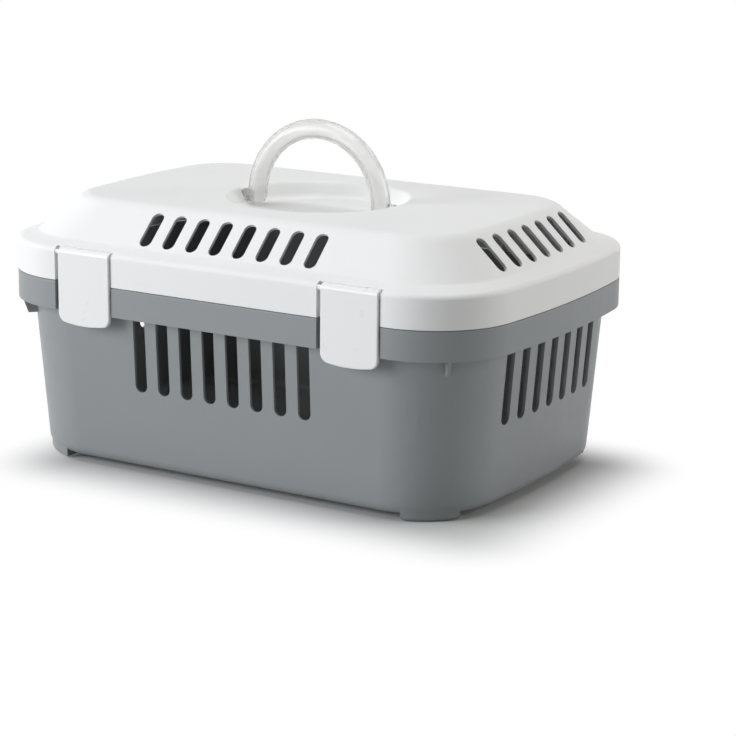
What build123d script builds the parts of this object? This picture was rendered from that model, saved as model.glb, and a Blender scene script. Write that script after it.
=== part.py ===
from build123d import *
import math
import os

os.makedirs("parts", exist_ok=True)

# A small pet carrier: an open tub with a flanged rim, a lid that drops onto the rim, four
# clips that hang on rods across notches in the lid and shut over the rim, and an arched
# carrying handle that folds into a round dish in the lid.
# Millimetres. X runs along the length, the front long side faces -Y, Z is up, and the
# origin is on the table under the middle of the carrier.

# Overall sizes
length = 485.0
depth = 330.0
clip_proud = 2.0
end_bow = 14.7

# Tub
foot_height = 5.0
foot_inset = 1.0
rim_top = 162.3
rim_height = 24.9
rim_reach = 9.5
rim_corner = 75.0
rim_edge = 1.2
tub_wall = 2.6
side_taper = 8.4
end_taper = 12.0
wall_corner = 73.0
floor_corner = 70.0
base_edge = 9.5
foot_length = 53.0
foot_width = 32.0
foot_corner = 7.0
foot_edge = 4.0
gusset_thickness = 2.8
gusset_drop = 13.0
gusset_angle = 49.0
gusset_inset = 2.5
gusset_slant = 4.5

# Slots in the tub
tub_slot_width = 12.0
tub_slot_bottom = 72.5
tub_slot_height = 77.0
side_slots = 8
tub_side_pitch = 23.15
end_slots = 7
tub_end_pitch = 24.2

# Lid
rim_gap = 0.5
lid_wall = 2.5
skirt_height = 27.2
shoulder_width = 16.5
shoulder_rise = 5.0
slope_width = 33.4
slope_rise = 31.3
slope_foot_corner = 66.0
plateau_corner = 50.0
shoulder_round = 5.0
slope_foot_round = 7.0
plateau_round = 18.0
rib_thickness = 2.0
rib_reach = 4.0
rib_depth = 6.0
rib_offset = 45.0
rib_clearance = 1.0

# Slots in the lid
lid_slot_width = 11.7
lid_slot_length = 35.0
side_slot_from_edge = 25.6
end_slot_from_edge = 24.0
lid_side_pitch = 23.07
lid_end_pitch = 23.83

# Clips
clip_width = 53.0
clip_spacing = 260.0
clip_slide = 1.75
clip_thickness = 3.0
clip_length = 61.0
clip_sag = 3.0
clip_corner = 8.0
barrel_radius = 4.5
barrel_rise = 1.5
rod_radius = 2.0
rod_clearance = 0.05
notch_side_gap = 2.75
notch_floor_gap = 3.0
seat_gap = 0.4
seat_edge = 0.7
rear_seat_room = 2.0
catch_clearance = 0.2
catch_drop = 0.4
hook_height = 5.0
clip_edge = 1.2

# Handle
grip_radius = 8.4
grip_wall = 2.6
arch_radius = 62.4
dish_radius = 78.0
dish_floor_radius = 70.0
dish_depth = 13.3
dish_lip_round = 5.0
dish_floor_round = 7.0
fold_clearance = 0.4
pivot_radius = 2.2
pivot_clearance = 0.05
pivot_grip = 4.5
pivot_collar = 4.5
collar_gap = 0.5
pocket_inset = 0.8
pocket_side_gap = 1.0
pocket_floor_gap = 3.5

# How far a cutting shape runs past what it cuts
overrun = 1.0

# Worked out from the sizes above
half_x = length / 2
half_y = depth / 2 - clip_proud
end_radius = (half_y**2 + end_bow**2) / (2 * end_bow)
rim_bottom = rim_top - rim_height
wall_x = half_x - rim_reach
wall_y = half_y - rim_reach
floor_x = wall_x - end_taper
floor_y = wall_y - side_taper
lid_bottom = rim_top + rim_gap
skirt_top = lid_bottom + skirt_height
slope_foot = skirt_top + shoulder_rise
plateau = slope_foot + slope_rise
plateau_inset = shoulder_width + slope_width
slope_angle = math.degrees(math.atan2(slope_rise, slope_width))
barrel_y = depth / 2 - barrel_radius
barrel_z = skirt_top + barrel_rise - barrel_radius
clip_inner_y = depth / 2 - clip_thickness
catch_y = clip_inner_y - notch_floor_gap
notch_width = clip_width + 2 * notch_side_gap
seat_radius = barrel_radius + seat_gap
dish_floor = plateau - dish_depth
pivot_z = dish_floor + fold_clearance + grip_radius
pocket_wall = dish_radius - pocket_inset
SIDES = [(x, y) for x in (-1, 1) for y in (-1, 1)]


def bow(y):
    """How far the bowed ends fall back at a distance from the middle."""
    return end_radius - math.sqrt(end_radius**2 - y**2)


def plan(x, y, corner, z):
    """The outline from above: straight long sides, bowed ends and round corners."""
    sag = bow(y)
    with BuildSketch(Plane.XY.offset(z)) as outline:
        with BuildLine():
            Line((sag - x, -y), (x - sag, -y))
            ThreePointArc((x - sag, -y), (x, 0), (x - sag, y))
            Line((x - sag, y), (sag - x, y))
            ThreePointArc((sag - x, y), (-x, 0), (sag - x, -y))
        make_face()
        fillet(outline.vertices(), corner)
    return outline.sketch


def block(x_range, y_range, z_range):
    """A box between two corners."""
    size = [b - a for a, b in (x_range, y_range, z_range)]
    middle = [(a + b) / 2 for a, b in (x_range, y_range, z_range)]
    return Pos(*middle) * Box(*size)


def rod(start_x, end_x, y, z, radius):
    """A round bar along X."""
    middle = (start_x + end_x) / 2
    return Pos(middle, y, z) * Rot(0, 90, 0) * Cylinder(radius, abs(end_x - start_x))


def row(count, pitch):
    """Places in a row about zero."""
    return [(i - (count - 1) / 2) * pitch for i in range(count)]


def tub_slots():
    """Upright slots through both long sides and both ends."""
    middle = tub_slot_bottom + tub_slot_height / 2
    shape = SlotOverall(tub_slot_height, tub_slot_width, rotation=90)
    side = extrude(Plane.XZ * shape, wall_y + overrun, both=True)
    end = extrude(Plane.YZ * shape, wall_x + overrun, both=True)
    slots = []
    for place in row(side_slots, tub_side_pitch):
        slots.append(Pos(place, 0, middle) * side)
    for place in row(end_slots, tub_end_pitch):
        slots.append(Pos(0, place, middle) * end)
    return slots


def tub():
    """The tub: a drafted box with a flanged rim, four feet and slots for air."""
    wall = tub_wall
    shell = loft(
        [
            plan(floor_x, floor_y, floor_corner, foot_height),
            plan(wall_x, wall_y, wall_corner, rim_top),
        ],
        ruled=True,
    )
    shell = fillet(shell.edges().group_by(Axis.Z)[0], base_edge)
    cavity = loft(
        [
            plan(floor_x - wall, floor_y - wall, floor_corner - wall, foot_height + wall),
            plan(wall_x - wall, wall_y - wall, wall_corner - wall, rim_top + overrun),
        ],
        ruled=True,
    )
    cavity = fillet(cavity.edges().group_by(Axis.Z)[0], base_edge - wall)

    rim = extrude(plan(half_x, half_y, rim_corner, rim_bottom), rim_height)
    rim = fillet(rim.edges().group_by(Axis.Z)[-1], rim_edge)
    under = plan(half_x - wall, half_y - wall, rim_corner - wall, rim_bottom)
    rim -= extrude(under, rim_height - wall)

    # Each clip shuts into a notch whose back panel the hook reaches under
    side = notch_width / 2
    for x, y in SIDES:
        middle = x * clip_spacing / 2
        outer = (middle - side - wall, middle + side + wall)
        notch = (middle - side, middle + side)
        back = sorted((y * (catch_y - wall), y * (half_y - wall / 2)))
        front = sorted((y * catch_y, y * depth))
        rim += block(outer, back, (rim_bottom, rim_top - rim_edge))
        rim -= block(notch, front, (rim_bottom - overrun, rim_top + overrun))

    # A gusset under the rim at each corner
    centre_y = half_y - rim_corner
    centre_x = half_x - rim_corner - bow(centre_y)
    reach = rim_corner - gusset_inset
    low, high = rim_bottom - gusset_drop, rim_top - rim_edge
    side = [(0, low), (reach - gusset_slant, low), (reach, rim_bottom), (reach, high), (0, high)]
    plate = extrude(Plane.XZ * Polygon(*side, align=None), gusset_thickness / 2, both=True)
    for x, y in SIDES:
        turn = x * y * gusset_angle + (0 if x > 0 else 180)
        rim += Pos(x * centre_x, y * centre_y, 0) * Rot(0, 0, turn) * plate
    body = shell + rim

    # The feet carry the wall down to the ground at the corners
    sole = plan(floor_x - foot_inset, floor_y - foot_inset, floor_corner - foot_inset, 0)
    near_x = floor_x - foot_inset - foot_length
    near_y = floor_y - foot_inset - foot_width
    patch = RectangleRounded(half_x - near_x, half_y - near_y, foot_corner)
    for x, y in SIDES:
        corner = Pos(x * (near_x + half_x) / 2, y * (near_y + half_y) / 2, 0)
        foot = extrude(sole & corner * patch, foot_height + base_edge)
        body += fillet(foot.edges().group_by(Axis.Z)[0], foot_edge)
    body -= cavity
    for slot in tub_slots():
        body -= slot
    return body


def mitre(before, corner, after, inward):
    """A corner of a profile moved inward by a wall, as (inset, height)."""
    normals = []
    for start, end in ((before, corner), (corner, after)):
        run = math.hypot(end[0] - start[0], end[1] - start[1])
        normals.append(((end[1] - start[1]) / run, (start[0] - end[0]) / run))
    (ax, ay), (bx, by) = normals
    share = inward / (1 + ax * bx + ay * by)
    return corner[0] + (ax + bx) * share, corner[1] + (ay + by) * share


def ring(form, height):
    """The closed loop of edges at one height."""
    loop = []
    for edge in form.edges():
        box = edge.bounding_box()
        if box.size.Z < 0.01 and abs(box.center().Z - height) < 0.01:
            loop.append(edge)
    return loop


def lid_form(inward, bottom):
    """The lid's outer form, or its hollow when moved inward by the wall."""
    profile = [
        (0, lid_bottom),
        (0, skirt_top),
        (shoulder_width, slope_foot),
        (plateau_inset, plateau),
        (half_x, plateau),
    ]
    corners = [rim_corner, slope_foot_corner, plateau_corner]
    sections = [plan(half_x - inward, half_y - inward, rim_corner - inward, bottom)]
    heights = []
    for i, corner in enumerate(corners):
        inset, height = mitre(profile[i], profile[i + 1], profile[i + 2], inward)
        heights.append(height)
        round_off = corner - inset + profile[i + 1][0]
        sections.append(plan(half_x - inset, half_y - inset, round_off, height))
    form = loft(sections, ruled=True)
    form = fillet(ring(form, heights[2]), plateau_round - inward)
    form = fillet(ring(form, heights[1]), slope_foot_round + inward)
    return fillet(ring(form, heights[0]), shoulder_round - inward)


def lid_slots():
    """Slots through all four slopes of the lid, square to the slope."""
    angle = math.radians(slope_angle)
    shape = SlotOverall(lid_slot_length, lid_slot_width)
    cut = 3 * lid_wall
    slots = []
    for side in (-1, 1):
        inset = plateau_inset - side_slot_from_edge * math.cos(angle)
        height = plateau - side_slot_from_edge * math.sin(angle)
        up = (0, -side * math.cos(angle), math.sin(angle))
        out = (0, side * math.sin(angle), math.cos(angle))
        for place in row(side_slots, lid_side_pitch):
            slope = Plane((place, side * (half_y - inset), height), x_dir=up, z_dir=out)
            slots.append(extrude(slope * shape, cut, both=True))
        inset = plateau_inset - end_slot_from_edge * math.cos(angle)
        height = plateau - end_slot_from_edge * math.sin(angle)
        up = (-side * math.cos(angle), 0, math.sin(angle))
        out = (side * math.sin(angle), 0, math.cos(angle))
        for place in row(end_slots, lid_end_pitch):
            reach = side * (half_x - inset - bow(place))
            slope = Plane((reach, place, height), x_dir=up, z_dir=out)
            slots.append(extrude(slope * shape, cut, both=True))
    return slots


def centring_ribs():
    """Upright ribs inside the skirt, whose feet drop into the mouth of the tub."""
    mouth = rim_reach + tub_wall + rib_clearance
    limit = lid_form(lid_wall / 2, lid_bottom - rib_depth)
    thick = rib_thickness / 2
    ribs = []
    for a, b in SIDES:
        across = (a * rib_offset - thick, a * rib_offset + thick)
        edge = half_y
        inner = sorted((b * (edge - mouth - rib_reach), b * edge))
        outer = sorted((b * (edge - mouth), b * edge))
        rib = block(across, inner, (lid_bottom - rib_depth, plateau)) & limit
        ribs.append(rib - block(across, outer, (0, lid_bottom)))
        edge = half_x - bow(rib_offset)
        inner = sorted((b * (edge - mouth - rib_reach), b * edge))
        outer = sorted((b * (edge - mouth), b * edge))
        rib = block(inner, across, (lid_bottom - rib_depth, plateau)) & limit
        ribs.append(rib - block(outer, across, (0, lid_bottom)))
    return ribs


def dish(wall):
    """The round dish for the handle, or with a wall the outside of its shell."""
    top = plateau - wall / 2
    bottom = dish_floor - wall
    lean = (dish_radius - dish_floor_radius) / dish_depth
    rim_radius = dish_radius + wall * math.hypot(1, lean)
    with BuildSketch(Plane.XZ) as half:
        with BuildLine():
            Polyline(
                (0, bottom),
                (rim_radius - (plateau - bottom) * lean, bottom),
                (rim_radius - (plateau - top) * lean, top),
                (0, top),
                close=True,
            )
        make_face()
    form = revolve(half.sketch, Axis.Z, 360)
    return fillet(form.edges().group_by(Axis.Z)[0], dish_floor_round + wall)


def lid():
    """The lid: a shell with a shoulder, slopes and a plateau that holds the handle's dish."""
    wall = lid_wall
    outer = lid_form(0, lid_bottom)
    body = outer - lid_form(wall, lid_bottom - overrun)
    for rib in centring_ribs():
        body += rib

    body += dish(wall)
    body -= dish(0)
    lip = [e for e in ring(body, plateau) if e.bounding_box().size.X < 2.5 * dish_radius]
    body = fillet(lip, dish_lip_round)

    # The handle's collars lie in a pocket at each end of the dish, with bosses for its pins
    pocket_y = pivot_collar + pocket_side_gap
    pocket_floor = pivot_z - pivot_collar - pocket_floor_gap
    boss_end = pocket_wall + pivot_grip + wall
    hole = pivot_radius + pivot_clearance
    for x in (-1, 1):
        shell_x = sorted((x * arch_radius, x * (pocket_wall + wall)))
        shell_y = (-pocket_y - wall, pocket_y + wall)
        body += block(shell_x, shell_y, (pocket_floor - wall, plateau - wall / 2)) - dish(0)
        boss_x = sorted((x * pocket_wall, x * boss_end))
        boss_y = (-pocket_y, pocket_y)
        body += block(boss_x, boss_y, (pivot_z - pocket_y, plateau - wall / 2)) - dish(0)
        pocket_x = sorted((x * arch_radius, x * pocket_wall))
        body -= block(pocket_x, boss_y, (pocket_floor, plateau + overrun))
        body -= rod(x * (pocket_wall - overrun), x * (boss_end - wall / 2), 0, pivot_z, hole)

    # A notch for each clip, with a round seat for its barrel and a rod across it. The lid swings
    # back over the rear clips, so their seats are cut further in and open upwards.
    side = notch_width / 2
    seat_floor = barrel_z - seat_radius
    for x, y in SIDES:
        room = rear_seat_room if y > 0 else 0
        seat_y = barrel_y - seat_radius - room
        middle = x * clip_spacing / 2
        notch = (middle - side, middle + side)
        around = (middle - side - wall, middle + side + wall)
        deep = sorted((y * (seat_y - wall), y * half_y))
        body += block(around, deep, (lid_bottom, plateau)) & outer
        hollow = sorted((y * (seat_y - wall - overrun), y * (catch_y - wall)))
        body -= block(notch, hollow, (lid_bottom - overrun, seat_floor - wall))
        front = sorted((y * catch_y, y * depth))
        body -= block(notch, front, (lid_bottom - overrun, barrel_z))
        above = sorted((y * (seat_y if room else barrel_y), y * depth))
        body -= block(notch, above, (barrel_z, plateau))
        body -= rod(*notch, y * barrel_y, barrel_z, seat_radius)
        if not room:
            lip = (middle, y * (barrel_y - seat_radius / 2), barrel_z + seat_radius)
            body = fillet(body.edges().sort_by_distance(lip)[0], seat_edge)
        body += rod(notch[0] - overrun, notch[1] + overrun, y * barrel_y, barrel_z, rod_radius)

    for slot in lid_slots():
        body -= slot
    return body


def clip(x, y):
    """A clip: a barrel that turns on the lid's rod, a plate and a hook under the rim."""
    half = clip_width / 2
    bottom = barrel_z - clip_length
    corner_z = bottom + clip_sag
    with BuildSketch(Plane.XZ.offset(-clip_inner_y)) as face:
        with BuildLine():
            ThreePointArc((-half, corner_z), (0, bottom), (half, corner_z))
            Polyline((half, corner_z), (half, barrel_z), (-half, barrel_z), (-half, corner_z))
        make_face()
        fillet(face.vertices().group_by(Axis.Y)[0], clip_corner)
    plate = extrude(face.sketch, -clip_thickness)
    outside = plate.faces().sort_by(Axis.Y)[-1].edges()
    plate = fillet(outside.sort_by(Axis.Z)[:-1], clip_edge)
    barrel = rod(-half, half, barrel_y, barrel_z, barrel_radius)
    barrel = fillet(barrel.edges().filter_by(GeomType.CIRCLE), clip_edge)

    tip = catch_y + catch_clearance
    top = rim_bottom - catch_drop
    with BuildSketch(Plane.YZ) as hook:
        with BuildLine():
            Polyline(
                (clip_inner_y + clip_thickness / 2, top),
                (tip, top),
                (tip, top - hook_height / 2),
                (clip_inner_y, top - hook_height),
                (clip_inner_y + clip_thickness / 2, top - hook_height),
                close=True,
            )
        make_face()
    body = plate + barrel + extrude(hook.sketch, half - clip_corner, both=True)
    body -= rod(-half - overrun, half + overrun, barrel_y, barrel_z, rod_radius + rod_clearance)
    if y < 0:
        body = mirror(body, Plane.XZ)
    return Pos(x * clip_spacing / 2 + clip_slide, 0, 0) * body


def handle():
    """The handle: an arched tube with round open ends and a pivot pin on each outer side."""
    section = Plane((arch_radius, 0, pivot_z), x_dir=(1, 0, 0), z_dir=(0, 0, 1))
    turning = Axis((0, 0, pivot_z), (0, -1, 0))
    bore_radius = grip_radius - grip_wall
    body = revolve(section * Circle(grip_radius), turning, 180)
    bore = revolve(section * Circle(bore_radius), turning, 180)
    for x in (-1, 1):
        root = x * arch_radius
        body += Pos(root, 0, pivot_z) * Sphere(grip_radius)
        body += rod(root, x * (pocket_wall - collar_gap), 0, pivot_z, pivot_collar)
        body += rod(root, x * (pocket_wall + pivot_grip), 0, pivot_z, pivot_radius)
        bore += Pos(root, 0, pivot_z - grip_radius) * Cylinder(bore_radius, 2 * grip_radius)
    return body - bore


parts = {
    "tub": tub(),
    "lid": lid(),
    "front_left_clip": clip(-1, -1),
    "front_right_clip": clip(1, -1),
    "rear_left_clip": clip(-1, 1),
    "rear_right_clip": clip(1, 1),
    "handle": handle(),
}
for name, part in parts.items():
    part.label = name
    export_step(part, f"parts/{name}.step")
    print(name, part.is_valid, len(part.solids()), round(part.volume))
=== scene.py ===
import bmesh
import bpy
import math
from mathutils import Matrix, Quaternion, Vector


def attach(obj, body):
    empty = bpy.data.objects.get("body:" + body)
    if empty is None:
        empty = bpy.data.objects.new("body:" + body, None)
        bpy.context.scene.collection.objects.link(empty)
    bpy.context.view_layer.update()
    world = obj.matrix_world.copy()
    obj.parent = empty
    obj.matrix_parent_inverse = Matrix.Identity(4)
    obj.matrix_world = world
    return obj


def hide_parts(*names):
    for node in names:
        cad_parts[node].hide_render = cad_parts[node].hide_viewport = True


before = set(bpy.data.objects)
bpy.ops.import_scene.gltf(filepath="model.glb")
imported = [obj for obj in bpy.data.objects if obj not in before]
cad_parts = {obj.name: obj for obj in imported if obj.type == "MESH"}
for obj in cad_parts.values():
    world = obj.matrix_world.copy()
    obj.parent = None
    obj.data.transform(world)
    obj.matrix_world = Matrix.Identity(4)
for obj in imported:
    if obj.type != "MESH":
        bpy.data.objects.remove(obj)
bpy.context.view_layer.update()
scene = bpy.context.scene


# Camera
# The lens and the place that fit the carrier's outlines and slots in the photograph: a long
# lens from the front, 31 degrees round to the right and 14 degrees up, with a trace of roll.
camera_azimuth = 30.851
camera_elevation = 14.057
camera_roll = 0.594
camera_distance = 2.13706
camera_target = Vector((0.01567, 0.05988, 0.06342))
image_width_px = 736
focal_length_px = 2391.04
sensor_width_mm = 36
nearest_seen, farthest_seen = 0.1, 50


def direction(azimuth, elevation):
    """The unit vector that points so many degrees round to the right of the front, and up."""
    azimuth, elevation = math.radians(azimuth), math.radians(elevation)
    return Vector((
        math.sin(azimuth) * math.cos(elevation),
        -math.cos(azimuth) * math.cos(elevation),
        math.sin(elevation),
    ))


camera_data = bpy.data.cameras.new("camera")
camera_data.sensor_width = sensor_width_mm
camera_data.lens = focal_length_px / image_width_px * sensor_width_mm
camera_data.clip_start = nearest_seen
camera_data.clip_end = farthest_seen
camera = bpy.data.objects.new("camera", camera_data)
scene.collection.objects.link(camera)
scene.camera = camera
backwards = direction(camera_azimuth, camera_elevation)
camera.location = camera_target + camera_distance * backwards
camera.rotation_mode = "QUATERNION"
level = backwards.to_track_quat("Z", "Y")
camera.rotation_quaternion = level @ Quaternion((0, 0, 1), math.radians(camera_roll))


# Studio
# A white table top under three soft boxes: the strongest low at the front left, one overhead
# and a weak one low at the right rear. The near corner falls between them and is the darkest
# part. The table keeps the shadow near the carrier, and beyond it looks as white as the room.
scene.view_settings.view_transform = "Standard"
table_size = 30.0
table_white = (0.75, 0.75, 0.75, 1)
shade_centre = (0.037, -0.032, 0)
shade_reach = (0.188, 0.113, 0)
shade_fade = 0.09
room_white = (1, 1, 1, 1)
room_level = 0.02


def rays_that_see(tree):
    """1 for rays from the camera and through gloss or glass, 0 for those that carry light."""
    path = tree.nodes.new("ShaderNodeLightPath")
    seen = path.outputs["Is Camera Ray"]
    for kind in ("Is Glossy Ray", "Is Transmission Ray"):
        either = tree.nodes.new("ShaderNodeMath")
        either.operation = "MAXIMUM"
        tree.links.new(seen, either.inputs[0])
        tree.links.new(path.outputs[kind], either.inputs[1])
        seen = either.outputs[0]
    return seen


top = bmesh.new()
bmesh.ops.create_grid(top, x_segments=1, y_segments=1, size=table_size / 2)
table_mesh = bpy.data.meshes.new("table_top")
top.to_mesh(table_mesh)
top.free()
table = bpy.data.objects.new("table_top", table_mesh)
scene.collection.objects.link(table)

table_paint = bpy.data.materials.new("white_table")
table_paint.use_nodes = True
tree = table_paint.node_tree
tree.nodes.clear()
surface = tree.nodes.new("ShaderNodeOutputMaterial")
lit = tree.nodes.new("ShaderNodeBsdfDiffuse")
lit.inputs["Color"].default_value = table_white
glow = tree.nodes.new("ShaderNodeEmission")
blend = tree.nodes.new("ShaderNodeMixShader")
place = tree.nodes.new("ShaderNodeTexCoord")

# The distance from the rectangle that holds the shadow, in which the table starts to glow
steps = [
    ("SUBTRACT", shade_centre),
    ("ABSOLUTE", None),
    ("SUBTRACT", shade_reach),
    ("MAXIMUM", (0, 0, 0)),
    ("LENGTH", None),
]
away = place.outputs["Object"]
for operation, other in steps:
    step = tree.nodes.new("ShaderNodeVectorMath")
    step.operation = operation
    tree.links.new(away, step.inputs[0])
    if other:
        step.inputs[1].default_value = other
    away = step.outputs["Value" if operation == "LENGTH" else "Vector"]
fade = tree.nodes.new("ShaderNodeMapRange")
fade.interpolation_type = "SMOOTHSTEP"
fade.inputs["From Max"].default_value = shade_fade
tree.links.new(away, fade.inputs["Value"])
share = tree.nodes.new("ShaderNodeMath")
share.operation = "MULTIPLY"
tree.links.new(rays_that_see(tree), share.inputs[0])
tree.links.new(fade.outputs["Result"], share.inputs[1])
tree.links.new(share.outputs[0], blend.inputs["Fac"])
tree.links.new(lit.outputs[0], blend.inputs[1])
tree.links.new(glow.outputs[0], blend.inputs[2])
tree.links.new(blend.outputs[0], surface.inputs["Surface"])
table_mesh.materials.append(table_paint)

# The room looks white, and lights the carrier only faintly
world = bpy.data.worlds.new("room")
world.use_nodes = True
scene.world = world
tree = world.node_tree
room = tree.nodes["Background"]
room.inputs["Color"].default_value = room_white
strength = tree.nodes.new("ShaderNodeMapRange")
strength.inputs["To Min"].default_value = room_level
tree.links.new(rays_that_see(tree), strength.inputs["Value"])
tree.links.new(strength.outputs[0], room.inputs["Strength"])

# Name, azimuth and elevation in degrees, width in metres, power in watts and colour
soft_boxes = [
    ("front_left_box", -44, 15, 2.6, 143, (0.965, 0.985, 1)),
    ("overhead_box", 0, 89, 2.4, 98, (1, 1, 1)),
    ("right_rear_box", 122, 15, 2.0, 64, (1, 0.99, 0.96)),
]
box_height = 2.4
box_distance = 4.0
for name, azimuth, elevation, width, power, colour in soft_boxes:
    lamp = bpy.data.lights.new(name, "AREA")
    lamp.shape = "RECTANGLE"
    lamp.size = width
    lamp.size_y = box_height
    lamp.energy = power
    lamp.color = colour
    box = bpy.data.objects.new(name, lamp)
    scene.collection.objects.link(box)
    towards = direction(azimuth, elevation)
    box.location = box_distance * towards
    box.rotation_mode = "QUATERNION"
    box.rotation_quaternion = towards.to_track_quat("Z", "Y")


# Tub
# The lower shell, moulded in grey polypropylene with a fine spark-eroded grain. It draws out
# of its mould upwards, so the walls lean and the rim carries a flange that the clips hook under.
tub_grey = (0.257, 0.273, 0.281, 1)
tub_grey_deep = (0.248, 0.263, 0.271, 1)
tub_roughness = (0.40, 0.50)
tub_grain = 0.00004
matt_specular = 0.35

# What every moulding shares: how its mesh is merged and creased, the scale and the detail of
# each noise, the part of the rub noise that is spread over the roughness, and the grain's weight
merge_distance = 1e-6
crease = math.radians(32)
cloud_noise = (14, 3)
rub_noise = (60, 4)
grain_noise = (1400, 2)
rub_range = (0.3, 0.7)
grain_strength = 0.5


def moulding(node, name):
    """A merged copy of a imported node, smooth between its creases, that stands for the node."""
    shell = bmesh.new()
    shell.from_mesh(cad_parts[node].data)
    bmesh.ops.remove_doubles(shell, verts=shell.verts, dist=merge_distance)
    for face in shell.faces:
        face.smooth = True
    for edge in shell.edges:
        edge.smooth = edge.calc_face_angle(math.pi) < crease
    mesh = bpy.data.meshes.new(name)
    shell.to_mesh(mesh)
    shell.free()
    if "custom_normal" in mesh.attributes:
        mesh.attributes.remove(mesh.attributes["custom_normal"])
    piece = bpy.data.objects.new(name, mesh)
    scene.collection.objects.link(piece)
    even = piece.modifiers.new("even_shading", "WEIGHTED_NORMAL")
    even.keep_sharp = True
    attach(piece, node)
    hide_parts(node)
    return piece


def noise(tree, place, scale, detail):
    """A cloudy pattern that is fixed to the piece."""
    texture = tree.nodes.new("ShaderNodeTexNoise")
    texture.inputs["Scale"].default_value = scale
    texture.inputs["Detail"].default_value = detail
    tree.links.new(place, texture.inputs["Vector"])
    return texture.outputs["Fac"]


def moulded_plastic(name, light, deep, roughness, grain, specular):
    """Plastic with a faint cloud in its colour and gloss, and the fine grain of its mould."""
    material = bpy.data.materials.new(name)
    material.use_nodes = True
    tree = material.node_tree
    shader = tree.nodes["Principled BSDF"]
    shader.inputs["Specular IOR Level"].default_value = specular
    place = tree.nodes.new("ShaderNodeTexCoord").outputs["Object"]

    tint = tree.nodes.new("ShaderNodeMix")
    tint.data_type = "RGBA"
    tint.inputs["A"].default_value = deep
    tint.inputs["B"].default_value = light
    tree.links.new(noise(tree, place, *cloud_noise), tint.inputs["Factor"])
    tree.links.new(tint.outputs["Result"], shader.inputs["Base Color"])

    gloss = tree.nodes.new("ShaderNodeMapRange")
    gloss.inputs["From Min"].default_value, gloss.inputs["From Max"].default_value = rub_range
    gloss.inputs["To Min"].default_value, gloss.inputs["To Max"].default_value = roughness
    tree.links.new(noise(tree, place, *rub_noise), gloss.inputs["Value"])
    tree.links.new(gloss.outputs["Result"], shader.inputs["Roughness"])

    bump = tree.nodes.new("ShaderNodeBump")
    bump.inputs["Strength"].default_value = grain_strength
    bump.inputs["Distance"].default_value = grain
    tree.links.new(noise(tree, place, *grain_noise), bump.inputs["Height"])
    tree.links.new(bump.outputs["Normal"], shader.inputs["Normal"])
    return material


tub = moulding("tub", "tub_shell")
tub.data.materials.append(moulded_plastic(
    "grained_grey", tub_grey, tub_grey_deep, tub_roughness, tub_grain, matt_specular
))


# Lid
# The upper shell in white polypropylene, more matt than the tub. Its slopes, plateau and dish
# are one moulding, and the rods that the clips hang on are moulded across its notches.
lid_white = (0.825, 0.825, 0.825, 1)
lid_white_deep = (0.805, 0.805, 0.805, 1)
lid_roughness = (0.54, 0.64)
lid_grain = 0.00003

lid = moulding("lid", "lid_shell")
lid.data.materials.append(moulded_plastic(
    "satin_white", lid_white, lid_white_deep, lid_roughness, lid_grain, matt_specular
))


# Clips
# Four like mouldings in natural polypropylene, glossier than the lid and slightly milky. Each
# snaps over its rod, swings on it, and hooks under the tub's rim.
clip_white = (0.83, 0.83, 0.835, 1)
clip_white_deep = (0.815, 0.815, 0.82, 1)
clip_roughness = (0.27, 0.30)
polished_grain = 0.00001
glossy_specular = 0.5

milky = moulded_plastic(
    "milky_white", clip_white, clip_white_deep, clip_roughness, polished_grain, glossy_specular
)
for corner in ("front_left", "front_right", "rear_left", "rear_right"):
    clip = moulding(corner + "_clip", corner + "_clip_moulding")
    clip.data.materials.append(milky)


# Handle
# An arched tube in natural plastic whose wall lets light through and takes up some of it, so
# its middle is brighter than its edges. Two short pins turn in the bosses at the dish's ends.
handle_white = (0.97, 0.97, 0.965, 1)
handle_white_deep = (0.96, 0.96, 0.955, 1)
handle_roughness = (0.22, 0.25)
light_let_through = 0.88
light_bent = 1.35
milk_tint = (0.5, 0.5, 0.49, 1)
milk_density = 42.0

clear_milk = moulded_plastic(
    "clear_milk", handle_white, handle_white_deep, handle_roughness, polished_grain,
    glossy_specular,
)
tree = clear_milk.node_tree
shader = tree.nodes["Principled BSDF"]
shader.inputs["Transmission Weight"].default_value = light_let_through
shader.inputs["IOR"].default_value = light_bent
milk = tree.nodes.new("ShaderNodeVolumeAbsorption")
milk.inputs["Color"].default_value = milk_tint
milk.inputs["Density"].default_value = milk_density
tree.links.new(milk.outputs[0], tree.nodes["Material Output"].inputs["Volume"])
handle = moulding("handle", "handle_tube")
handle.data.materials.append(clear_milk)
